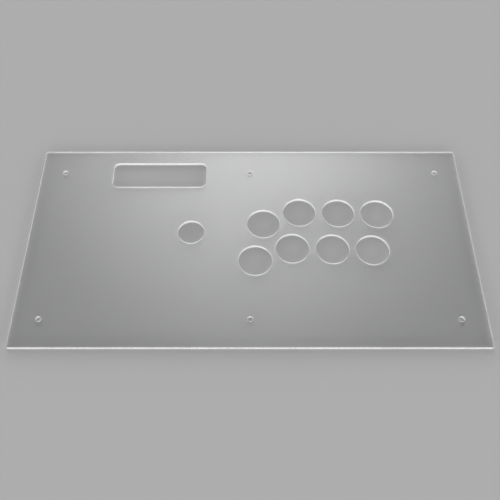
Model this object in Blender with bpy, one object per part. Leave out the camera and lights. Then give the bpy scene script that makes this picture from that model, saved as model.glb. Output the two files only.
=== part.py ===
"""Clear acrylic cover sheet for the control panel of an arcade fight stick.

The sheet lies flat. The origin is the centre of its underside, +X points to the player's
right, +Y away from the player and +Z up. Everything is in metres.
"""

import math

import bmesh
import bpy

MM = 0.001

# The sheet
SHEET_WIDTH = 402 * MM
SHEET_DEPTH = 207 * MM
SHEET_THICKNESS = 3 * MM
CORNER_RADIUS = 1.5 * MM
ARRIS = 0.2 * MM  # the small 45 degree chamfer that breaks every cut edge

# Screw holes: three along the back edge and three along the front edge
SCREW_HOLE_DIAMETER = 4.4 * MM
SCREW_INSET_X = 22.5 * MM  # from each end of the sheet
SCREW_INSET_Y = 26 * MM  # from the back and front edges

# The joystick's shaft
SHAFT_HOLE_DIAMETER = 24 * MM
SHAFT_HOLE_CENTRE = (-53.8 * MM, 9.5 * MM)

# Pushbuttons: the upper row starts at FIRST_BUTTON and steps from button to button. The
# lower row is the same row, moved towards the player.
BUTTON_HOLE_DIAMETER = 30 * MM
FIRST_BUTTON = (12.3 * MM, 18.6 * MM)
BUTTON_STEPS = ((33.5 * MM, 12.5 * MM), (36 * MM, -0.7 * MM), (36 * MM, -1.0 * MM))
LOWER_ROW_STEP = (-7.6 * MM, -39 * MM)

# The window over the case's own strip of small buttons
WINDOW_WIDTH = 89.5 * MM
WINDOW_DEPTH = 28.3 * MM
WINDOW_CORNER_RADIUS = 5 * MM
WINDOW_CENTRE = (-87.2 * MM, 74.7 * MM)

# How finely the round stretches are cut into flats
FLATS_PER_QUARTER_LARGE = 16
FLATS_PER_QUARTER_SMALL = 8

WELD_DISTANCE = 0.001 * MM
# A cubic curve follows a quarter circle when its handles are this share of the radius
QUARTER_HANDLE = 4 / 3 * (math.sqrt(2) - 1)


def clear_scene():
    for scene_object in list(bpy.data.objects):
        bpy.data.objects.remove(scene_object)


def button_centres():
    """The eight pushbutton centres, upper row first, from the player's left to right."""
    x, y = FIRST_BUTTON
    upper_row = [(x, y)]
    for step_x, step_y in BUTTON_STEPS:
        x, y = x + step_x, y + step_y
        upper_row.append((x, y))
    lower_row = [(x + LOWER_ROW_STEP[0], y + LOWER_ROW_STEP[1]) for x, y in upper_row]
    return upper_row + lower_row


def screw_centres():
    """The six screw centres, as a grid of three columns and two rows."""
    reach_x = SHEET_WIDTH / 2 - SCREW_INSET_X
    reach_y = SHEET_DEPTH / 2 - SCREW_INSET_Y
    return [(x, y) for y in (-reach_y, reach_y) for x in (-reach_x, 0, reach_x)]


def quarter_corners(centre, half_width, half_depth, radius):
    """Anticlockwise quarter arcs at the four corners: (arc centre, the angle it starts at)."""
    reach_x, reach_y = half_width - radius, half_depth - radius
    signs = ((1, 1), (-1, 1), (-1, -1), (1, -1))
    return [
        ((centre[0] + sx * reach_x, centre[1] + sy * reach_y), quarter * math.pi / 2)
        for quarter, (sx, sy) in enumerate(signs)
    ]


def add_rounded_outline(curve, centre, width, depth, radius, flats, is_hole):
    """Adds a rectangle with round corners; a circle is one whose sides are all corner.

    The sheet's own outline runs anticlockwise and a hole's runs clockwise, so that the
    chamfer of both slopes away from the material.
    """
    arcs = quarter_corners(centre, width / 2, depth / 2, radius)
    is_circle = math.isclose(width, 2 * radius) and math.isclose(depth, 2 * radius)
    points = []
    for arc_centre, start in arcs:
        ends = (start,) if is_circle else (start, start + math.pi / 2)
        for angle in ends:
            out = (math.cos(angle), math.sin(angle))
            along = (-out[1], out[0])
            place = tuple(arc_centre[i] + radius * out[i] for i in range(2))
            points.append((place, along))
    handle = QUARTER_HANDLE * radius
    if is_hole:
        points.reverse()
        handle = -handle
    spline = curve.splines.new("BEZIER")
    spline.use_cyclic_u = True
    spline.resolution_u = flats
    spline.bezier_points.add(len(points) - 1)
    for bezier_point, (place, along) in zip(spline.bezier_points, points):
        bezier_point.handle_left_type = bezier_point.handle_right_type = "FREE"
        bezier_point.co = (*place, 0)
        bezier_point.handle_left = (*(place[i] - handle * along[i] for i in range(2)), 0)
        bezier_point.handle_right = (*(place[i] + handle * along[i] for i in range(2)), 0)


def add_hole(curve, centre, diameter, flats):
    add_rounded_outline(curve, centre, diameter, diameter, diameter / 2, flats, is_hole=True)


def panel_curve():
    """The sheet as a flat 2D curve, its outline and its sixteen openings."""
    curve = bpy.data.curves.new("clear_panel_outline", "CURVE")
    curve.dimensions = "2D"
    curve.fill_mode = "BOTH"
    curve.extrude = SHEET_THICKNESS / 2 - ARRIS
    curve.bevel_depth = ARRIS
    curve.bevel_resolution = 0
    curve.offset = -ARRIS
    large, small = FLATS_PER_QUARTER_LARGE, FLATS_PER_QUARTER_SMALL
    add_rounded_outline(curve, (0, 0), SHEET_WIDTH, SHEET_DEPTH, CORNER_RADIUS, small, is_hole=False)
    add_rounded_outline(
        curve, WINDOW_CENTRE, WINDOW_WIDTH, WINDOW_DEPTH, WINDOW_CORNER_RADIUS, small, is_hole=True
    )
    add_hole(curve, SHAFT_HOLE_CENTRE, SHAFT_HOLE_DIAMETER, large)
    for centre in button_centres():
        add_hole(curve, centre, BUTTON_HOLE_DIAMETER, large)
    for centre in screw_centres():
        add_hole(curve, centre, SCREW_HOLE_DIAMETER, small)
    return curve


def solid_from_curve(curve, name, collection):
    """Turns a curve into a closed mesh object of that name, its faces welded to its walls."""
    guide = bpy.data.objects.new(name + "_guide", curve)
    collection.objects.link(guide)
    depsgraph = bpy.context.evaluated_depsgraph_get()
    mesh = bpy.data.meshes.new_from_object(guide.evaluated_get(depsgraph), depsgraph=depsgraph)
    mesh.name = name
    bpy.data.objects.remove(guide)
    solid = bmesh.new()
    solid.from_mesh(mesh)
    bmesh.ops.remove_doubles(solid, verts=solid.verts, dist=WELD_DISTANCE)
    bmesh.ops.recalc_face_normals(solid, faces=solid.faces)
    solid.to_mesh(mesh)
    solid.free()
    panel = bpy.data.objects.new(name, mesh)
    collection.objects.link(panel)
    return panel


def clear_acrylic():
    """Bare, colourless, polished acrylic."""
    material = bpy.data.materials.new("clear_acrylic")
    material.use_nodes = True
    shader = material.node_tree.nodes["Principled BSDF"]
    shader.inputs["Base Color"].default_value = (0.94, 0.95, 0.95, 1)
    shader.inputs["Metallic"].default_value = 0
    shader.inputs["Roughness"].default_value = 0.03
    shader.inputs["IOR"].default_value = 1.49
    shader.inputs["Transmission Weight"].default_value = 1
    return material


def build():
    clear_scene()
    collection = bpy.data.collections.new("arcade_panel_cover")
    bpy.context.scene.collection.children.link(collection)
    panel = solid_from_curve(panel_curve(), "clear_panel", collection)
    panel.location.z = SHEET_THICKNESS / 2
    panel.data.materials.clear()
    panel.data.materials.append(clear_acrylic())
    panel.data.shade_smooth()
    panel.data.set_sharp_from_angle(angle=math.radians(30))


build()
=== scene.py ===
import math

import bmesh
import bpy
from mathutils import Matrix, Vector


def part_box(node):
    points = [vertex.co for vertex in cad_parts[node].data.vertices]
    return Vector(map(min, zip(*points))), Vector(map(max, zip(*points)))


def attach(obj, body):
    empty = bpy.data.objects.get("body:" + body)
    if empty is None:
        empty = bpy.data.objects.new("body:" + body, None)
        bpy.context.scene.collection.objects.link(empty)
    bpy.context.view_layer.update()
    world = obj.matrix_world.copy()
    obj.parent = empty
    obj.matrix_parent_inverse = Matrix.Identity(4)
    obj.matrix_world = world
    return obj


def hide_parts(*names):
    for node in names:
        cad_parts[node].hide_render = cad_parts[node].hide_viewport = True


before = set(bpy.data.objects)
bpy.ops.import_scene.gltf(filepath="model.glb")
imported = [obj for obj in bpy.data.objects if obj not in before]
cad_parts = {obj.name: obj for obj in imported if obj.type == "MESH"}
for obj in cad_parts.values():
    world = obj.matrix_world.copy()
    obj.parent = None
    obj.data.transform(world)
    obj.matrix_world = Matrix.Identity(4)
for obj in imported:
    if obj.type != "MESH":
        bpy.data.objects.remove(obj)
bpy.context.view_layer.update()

MM = 0.001

# The sheet's fine mesh
ARRIS = 0.2 * MM  # every cut edge is rounded by this much
ARRIS_STEPS = 3
ARC_STEPS = 40  # flats to a quarter turn
WELD_DISTANCE = 0.0005 * MM
LEVEL_TOLERANCE = 0.02 * MM  # a point this close to a level is on it
SIDE_TOLERANCE = 0.001 * MM  # a point this close to a shape's side is on it
ROUND_TOLERANCE = 0.01 * MM  # a shape whose straight stretches are this short is a circle
FLAT_FACE = 0.999  # a polished face's normal points up or down by more than this
# A cubic curve follows a quarter circle when its handles are this share of the radius
QUARTER_HANDLE = 4 / 3 * (math.sqrt(2) - 1)

# Each pattern below is so many patches to the metre along X, Y and Z, and a level of detail.
# A pair of numbers is what the pattern's low and high parts give.
NOISE_RANGE = (0.3, 0.7)  # where nearly all of a noise texture's values lie

# Clear acrylic, with faint smears in its polish and very slight waves
ACRYLIC_IOR = 1.49
FACE_TINT = (0.985, 0.99, 0.99, 1)
FACE_ROUGHNESS = (0.006, 0.03)
SMEARS = (14, 30, 14)
SMEAR_DETAIL = 4
WAVES = (16, 16, 16)
WAVE_DETAIL = 0
WAVE_DEPTH = 0.12 * MM

# Its cut walls: streaks from face to face, and patches that the cutter left clearer
STREAKS = (2400, 2400, 50)
STREAK_DETAIL = 3
STREAK_DEPTH = 0.02 * MM
CUT_TONE = (0.72, 0.97)
CUT_ROUGHNESS = (0.15, 0.3)
PATCHES = (120, 120, 120)
PATCH_DETAIL = 2
CUT_CLEARNESS = (0.3, 0.0)
LIT_THROUGH = 0.3  # the share of a wall that glows with the light on its other side
PAINTED_INSIDE_SHADE = 0.8  # painted shade: how much of its tone a wall keeps where it is seen through the sheet, darkened because less light reaches it there

# The stage
FLOOR_DROP = 0.4 * MM
FLOOR_SIZE = 80.0
FLOOR_COLOUR = (0.5, 0.5, 0.505)

# The camera: where the photograph was taken from, seen from the sheet
CAMERA_HEIGHT = 484 * MM  # above the top face
CAMERA_BACK = 197.4 * MM  # in front of the near edge
CAMERA_PITCH = math.radians(59.0)  # down from level
CAMERA_LENS = 45.33
SENSOR_WIDTH = 36.0
CAMERA_NEAR = 10 * MM

# Soft round lights: bearing from +Y towards +X, elevation, half width, half height, strength.
# The first is the one that the sheet mirrors beyond its far edge in the photograph.
GLOWS = (
    (0, 46, 25, 29, 4.2),
    (-45, 27, 26, 16, 1.4),
    (135, 15, 26, 11, 0.9),
    (180, 42, 30, 22, 1.9),
    (0, 90, 25, 25, 1.2),
)
# The ring of light that whitens the cut walls. Heights here are sines of the elevation: the
# ring fades in over RING_RISE and fades out over RING_FALL, which is given from the top down.
RING = 4.6
RING_ENDS = 0.5  # the share of it that is left beyond the sheet's two ends
RING_RISE = (0.0, 0.05)
RING_FALL = (0.5, 0.2)
BASE = 0.08  # even light from the whole sky
PLAIN = 0.419  # the lit floor's own tone, so that the floor has no visible end
HAZE = 0.64  # what the sheet mirrors at the horizon, where the ring would dazzle
HAZE_TOP = 0.6  # the height at which that has faded out

LIGHT_BOUNCES = 32


def neighbours_in(group, vert):
    others = [edge.other_vert(vert) for edge in vert.link_edges]
    return [other for other in others if other in group]


def cut_loops(node):
    """The closed loops along the tops of a flat sheet's upright walls, each a list of points.

    They are read from the CAD node: its own outline and every opening through it.
    """
    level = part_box(node)[1].z - ARRIS
    solid = bmesh.new()
    solid.from_mesh(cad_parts[node].data)
    bmesh.ops.remove_doubles(solid, verts=solid.verts, dist=WELD_DISTANCE)
    on_level = [vert for vert in solid.verts if abs(vert.co.z - level) < LEVEL_TOLERANCE]
    group = set(on_level)
    left = {vert: neighbours_in(group, vert) for vert in on_level}
    loops = []
    while left:
        here = next(iter(left))
        loop = []
        while here is not None:
            loop.append(here.co.copy())
            here = next((vert for vert in left.pop(here) if vert in left), None)
        loops.append(loop)
    solid.free()
    return loops


def loop_shape(loop):
    """(centre, width, depth, corner radius) of a loop that is a circle or a rounded rectangle."""
    xs = [point.x for point in loop]
    ys = [point.y for point in loop]
    centre = Vector(((min(xs) + max(xs)) / 2, (min(ys) + max(ys)) / 2))
    width = max(xs) - min(xs)
    depth = max(ys) - min(ys)
    back_side = [point for point in loop if max(ys) - point.y < SIDE_TOLERANCE]
    straight = max(abs(point.x - centre.x) for point in back_side)
    return centre, width, depth, width / 2 - straight


def add_outline(curve, shape, is_hole):
    """Adds a rounded rectangle or a circle to the curve, anticlockwise unless it is a hole."""
    centre, width, depth, radius = shape
    reach = Vector((width / 2 - radius, depth / 2 - radius))
    is_circle = max(reach) < ROUND_TOLERANCE
    points = []
    for quarter, signs in enumerate(((1, 1), (-1, 1), (-1, -1), (1, -1))):
        arc_centre = centre + Vector((signs[0] * reach.x, signs[1] * reach.y))
        start = quarter * math.pi / 2
        for angle in (start,) if is_circle else (start, start + math.pi / 2):
            out = Vector((math.cos(angle), math.sin(angle)))
            points.append((arc_centre + radius * out, Vector((-out.y, out.x))))
    handle = QUARTER_HANDLE * radius
    if is_hole:
        points.reverse()
        handle = -handle
    spline = curve.splines.new("BEZIER")
    spline.use_cyclic_u = True
    spline.resolution_u = ARC_STEPS
    spline.bezier_points.add(len(points) - 1)
    for bezier_point, (place, direction) in zip(spline.bezier_points, points):
        bezier_point.handle_left_type = bezier_point.handle_right_type = "FREE"
        bezier_point.co = place.to_3d()
        bezier_point.handle_left = (place - handle * direction).to_3d()
        bezier_point.handle_right = (place + handle * direction).to_3d()


def sheet_curve(shapes, thickness):
    """The sheet as a thick 2D curve. The first shape is its outline, and the rest are holes."""
    curve = bpy.data.curves.new("sheet_outline", "CURVE")
    curve.dimensions = "2D"
    curve.fill_mode = "BOTH"
    curve.extrude = thickness / 2 - ARRIS
    curve.bevel_depth = ARRIS
    curve.bevel_resolution = ARRIS_STEPS
    curve.offset = -ARRIS
    for number, shape in enumerate(shapes):
        add_outline(curve, shape, is_hole=number > 0)
    return curve


def mesh_from_curve(curve):
    guide = bpy.data.objects.new("guide", curve)
    bpy.context.scene.collection.objects.link(guide)
    depsgraph = bpy.context.evaluated_depsgraph_get()
    mesh = bpy.data.meshes.new_from_object(guide.evaluated_get(depsgraph), depsgraph=depsgraph)
    bpy.data.objects.remove(guide)
    return mesh


def weld_and_sort_faces(mesh):
    """Welds the sheet shut. Its flat faces take the first material, and its walls the second."""
    solid = bmesh.new()
    solid.from_mesh(mesh)
    bmesh.ops.remove_doubles(solid, verts=solid.verts, dist=WELD_DISTANCE)
    bmesh.ops.recalc_face_normals(solid, faces=solid.faces)
    for face in solid.faces:
        is_flat = abs(face.normal.z) > FLAT_FACE
        face.smooth = not is_flat
        face.material_index = 0 if is_flat else 1
    for edge in solid.edges:
        if len({side.smooth for side in edge.link_faces}) > 1:
            edge.smooth = False
    solid.to_mesh(mesh)
    solid.free()


def make_sheet():
    """A finer mesh of the CAD's sheet, in the same place, shown instead of it."""
    low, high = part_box("clear_panel")
    shapes = [loop_shape(loop) for loop in cut_loops("clear_panel")]
    shapes.sort(key=lambda shape: -shape[1])
    mesh = mesh_from_curve(sheet_curve(shapes, high.z - low.z))
    mesh.transform(Matrix.Translation((0, 0, (low.z + high.z) / 2)))
    mesh.materials.clear()
    mesh.materials.append(polished_acrylic())
    mesh.materials.append(cut_acrylic())
    weld_and_sort_faces(mesh)
    sheet = bpy.data.objects.new("clear_sheet", mesh)
    bpy.context.scene.collection.objects.link(sheet)
    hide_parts("clear_panel")
    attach(sheet, "root")


def add_node(tree, kind, inputs=None, **settings):
    """Adds a shader node. Its inputs are numbers, colours or other nodes' output sockets."""
    node = tree.nodes.new("ShaderNode" + kind)
    for setting, value in settings.items():
        setattr(node, setting, value)
    for socket, value in (inputs or {}).items():
        if isinstance(value, bpy.types.NodeSocket):
            tree.links.new(value, node.inputs[socket])
        else:
            node.inputs[socket].default_value = value
    return node


def calculate(tree, operation, *values):
    return add_node(tree, "Math", dict(enumerate(values)), operation=operation).outputs[0]


def along(tree, vector, direction):
    """How far a vector reaches in a direction."""
    node = add_node(tree, "VectorMath", {0: vector, 1: direction}, operation="DOT_PRODUCT")
    return node.outputs["Value"]


def ease(tree, value, start, end):
    """Runs smoothly from 0 at start to 1 at end."""
    inputs = {"Value": value, "From Min": start, "From Max": end}
    return add_node(tree, "MapRange", inputs, interpolation_type="SMOOTHSTEP").outputs[0]


def switch(tree, choice, when_off, when_on):
    inputs = {"Factor": choice, "A": when_off, "B": when_on}
    return add_node(tree, "Mix", inputs, data_type="FLOAT").outputs["Result"]


def new_material(name):
    material = bpy.data.materials.new(name)
    material.use_nodes = True
    material.node_tree.nodes.clear()
    return material, material.node_tree


def noise(tree, per_metre, detail):
    """Soft random patches, or streaks where one direction has far fewer to the metre."""
    where = add_node(tree, "TexCoord").outputs["Object"]
    place = add_node(tree, "VectorMath", {0: where, 1: per_metre}, operation="MULTIPLY")
    inputs = {"Vector": place.outputs[0], "Scale": 1, "Detail": detail}
    return add_node(tree, "TexNoise", inputs).outputs["Fac"]


def spread(tree, value, low, high):
    """Stretches a noise over the range from low to high."""
    start, end = NOISE_RANGE
    inputs = {"Value": value, "From Min": start, "From Max": end, "To Min": low, "To Max": high}
    return add_node(tree, "MapRange", inputs).outputs[0]


def bumps(tree, height, depth):
    return add_node(tree, "Bump", {"Height": height, "Distance": depth}).outputs[0]


def let_light_through(tree, solid):
    """Light on its way to a dull surface goes straight through, less what two faces mirror.

    That is what a thin flat sheet does to light, and it needs far fewer samples than
    bending every ray. What the camera sees through the sheet is bent as it should be.
    """
    mirrored = add_node(tree, "Fresnel", {"IOR": ACRYLIC_IOR}).outputs[0]
    kept = calculate(tree, "POWER", calculate(tree, "SUBTRACT", 1, mirrored), 2)
    leaving = add_node(tree, "NewGeometry").outputs["Backfacing"]
    kept_once = calculate(tree, "MAXIMUM", kept, leaving)
    straight = add_node(tree, "BsdfTransparent", {"Color": kept_once}).outputs[0]
    path = add_node(tree, "LightPath").outputs
    is_light = calculate(tree, "MAXIMUM", path["Is Shadow Ray"], path["Is Diffuse Ray"])
    return add_node(tree, "MixShader", {0: is_light, 1: solid, 2: straight}).outputs[0]


def polished_acrylic():
    """The two faces: clear and bright, very slightly wavy, with faint smears in the polish."""
    material, tree = new_material("polished_acrylic")
    glass = {
        "Base Color": FACE_TINT,
        "IOR": ACRYLIC_IOR,
        "Transmission Weight": 1,
        "Roughness": spread(tree, noise(tree, SMEARS, SMEAR_DETAIL), *FACE_ROUGHNESS),
        "Normal": bumps(tree, noise(tree, WAVES, WAVE_DETAIL), WAVE_DEPTH),
    }
    solid = add_node(tree, "BsdfPrincipled", glass).outputs[0]
    add_node(tree, "OutputMaterial", {"Surface": let_light_through(tree, solid)})
    return material


def cut_acrylic():
    """The cut walls: whitened by the cutter, with fine streaks from face to face, and painted shade
    where they are seen through the sheet.
    """
    material, tree = new_material("cut_acrylic")
    streaks = noise(tree, STREAKS, STREAK_DETAIL)
    surface = bumps(tree, streaks, STREAK_DEPTH)
    from_inside = add_node(tree, "NewGeometry").outputs["Backfacing"]
    # painted shade: a wall's colour is darkened where it is seen from inside the sheet, in place of
    # the lesser light that reaches it there
    painted_shade = switch(tree, from_inside, 1, PAINTED_INSIDE_SHADE)
    tone = calculate(tree, "MULTIPLY", spread(tree, streaks, *CUT_TONE), painted_shade)
    frosted = {
        "Base Color": tone,
        "IOR": ACRYLIC_IOR,
        "Transmission Weight": spread(tree, noise(tree, PATCHES, PATCH_DETAIL), *CUT_CLEARNESS),
        "Roughness": spread(tree, streaks, *CUT_ROUGHNESS),
        "Normal": surface,
    }
    cut = add_node(tree, "BsdfPrincipled", frosted).outputs[0]
    lit_through = add_node(tree, "BsdfTranslucent", {"Color": tone, "Normal": surface}).outputs[0]
    wall = add_node(tree, "MixShader", {0: LIT_THROUGH, 1: cut, 2: lit_through}).outputs[0]
    add_node(tree, "OutputMaterial", {"Surface": wall})
    return material


def dull_floor():
    material, tree = new_material("floor")
    dull = {"Base Color": (*FLOOR_COLOUR, 1), "Roughness": 1, "Specular IOR Level": 0}
    shader = add_node(tree, "BsdfPrincipled", dull)
    add_node(tree, "OutputMaterial", {"Surface": shader.outputs[0]})
    return material


def make_floor():
    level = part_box("clear_panel")[0].z - FLOOR_DROP
    bpy.ops.mesh.primitive_plane_add(size=FLOOR_SIZE, location=(0, 0, level))
    floor = bpy.context.object
    floor.name = "floor"
    floor.data.materials.append(dull_floor())


def soft_glow(tree, where, bearing, elevation, half_width, half_height, strength):
    """A round soft light in the sky, brightest at its centre. Its angles are in degrees."""
    sin_b, cos_b = math.sin(math.radians(bearing)), math.cos(math.radians(bearing))
    sin_e, cos_e = math.sin(math.radians(elevation)), math.cos(math.radians(elevation))
    right = (cos_b, -sin_b, 0)
    up = (-sin_b * sin_e, -cos_b * sin_e, cos_e)
    centre = (sin_b * cos_e, cos_b * cos_e, sin_e)
    squares = []
    for direction, half_angle in ((right, half_width), (up, half_height)):
        reach = math.sin(math.radians(half_angle))
        share = calculate(tree, "DIVIDE", along(tree, where, direction), reach)
        squares.append(calculate(tree, "MULTIPLY", share, share))
    distance = calculate(tree, "SQRT", calculate(tree, "ADD", *squares))
    ahead = calculate(tree, "GREATER_THAN", along(tree, where, centre), 0)
    light = calculate(tree, "MULTIPLY", ease(tree, distance, 1, 0), ahead)
    return calculate(tree, "MULTIPLY", light, strength)


def low_ring(tree, where):
    """A band of light all round, just above the floor, weaker at the sheet's two ends."""
    height = along(tree, where, (0, 0, 1))
    band = calculate(tree, "MULTIPLY", ease(tree, height, *RING_RISE), ease(tree, height, *RING_FALL))
    forward = calculate(tree, "ABSOLUTE", along(tree, where, (0, 1, 0)))
    return calculate(tree, "MULTIPLY", band, calculate(tree, "MAXIMUM", forward, RING_ENDS))


def low_haze(tree, where):
    """Dim light that is strongest at the horizon and fades upwards."""
    height = along(tree, where, (0, 0, 1))
    return calculate(tree, "MULTIPLY", ease(tree, height, HAZE_TOP, 0), HAZE)


def make_world():
    """The studio's light. What the sheet mirrors is plainer than what lights it."""
    world = bpy.data.worlds.new("studio")
    bpy.context.scene.world = world
    world.use_nodes = True
    tree = world.node_tree
    tree.nodes.clear()
    where = add_node(tree, "TexCoord").outputs["Generated"]
    path = add_node(tree, "LightPath").outputs
    light = 0
    for glow in GLOWS:
        light = calculate(tree, "ADD", light, soft_glow(tree, where, *glow))
    ring = calculate(tree, "MULTIPLY", low_ring(tree, where), RING)
    lit = calculate(tree, "ADD", ring, BASE)
    rest = switch(tree, path["Is Glossy Ray"], lit, low_haze(tree, where))
    light = calculate(tree, "ADD", light, rest)
    strength = switch(tree, path["Is Camera Ray"], light, PLAIN)
    background = add_node(tree, "Background", {"Color": (1, 1, 1, 1), "Strength": strength})
    add_node(tree, "OutputWorld", {"Surface": background.outputs[0]})


def make_camera():
    low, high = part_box("clear_panel")
    camera = bpy.data.objects.new("camera", bpy.data.cameras.new("camera"))
    bpy.context.scene.collection.objects.link(camera)
    camera.location = (0, low.y - CAMERA_BACK, high.z + CAMERA_HEIGHT)
    camera.rotation_euler = (math.pi / 2 - CAMERA_PITCH, 0, 0)
    camera.data.lens = CAMERA_LENS
    camera.data.sensor_width = SENSOR_WIDTH
    camera.data.clip_start = CAMERA_NEAR
    bpy.context.scene.camera = camera


def set_light_paths():
    """Lets light through the clear sheet's many faces, and keeps what it mirrors sharp."""
    cycles = bpy.context.scene.cycles
    cycles.max_bounces = LIGHT_BOUNCES
    cycles.transmission_bounces = LIGHT_BOUNCES
    cycles.glossy_bounces = LIGHT_BOUNCES
    cycles.blur_glossy = 0


make_sheet()
make_floor()
make_world()
make_camera()
set_light_paths()
bpy.context.scene.view_settings.view_transform = "Standard"
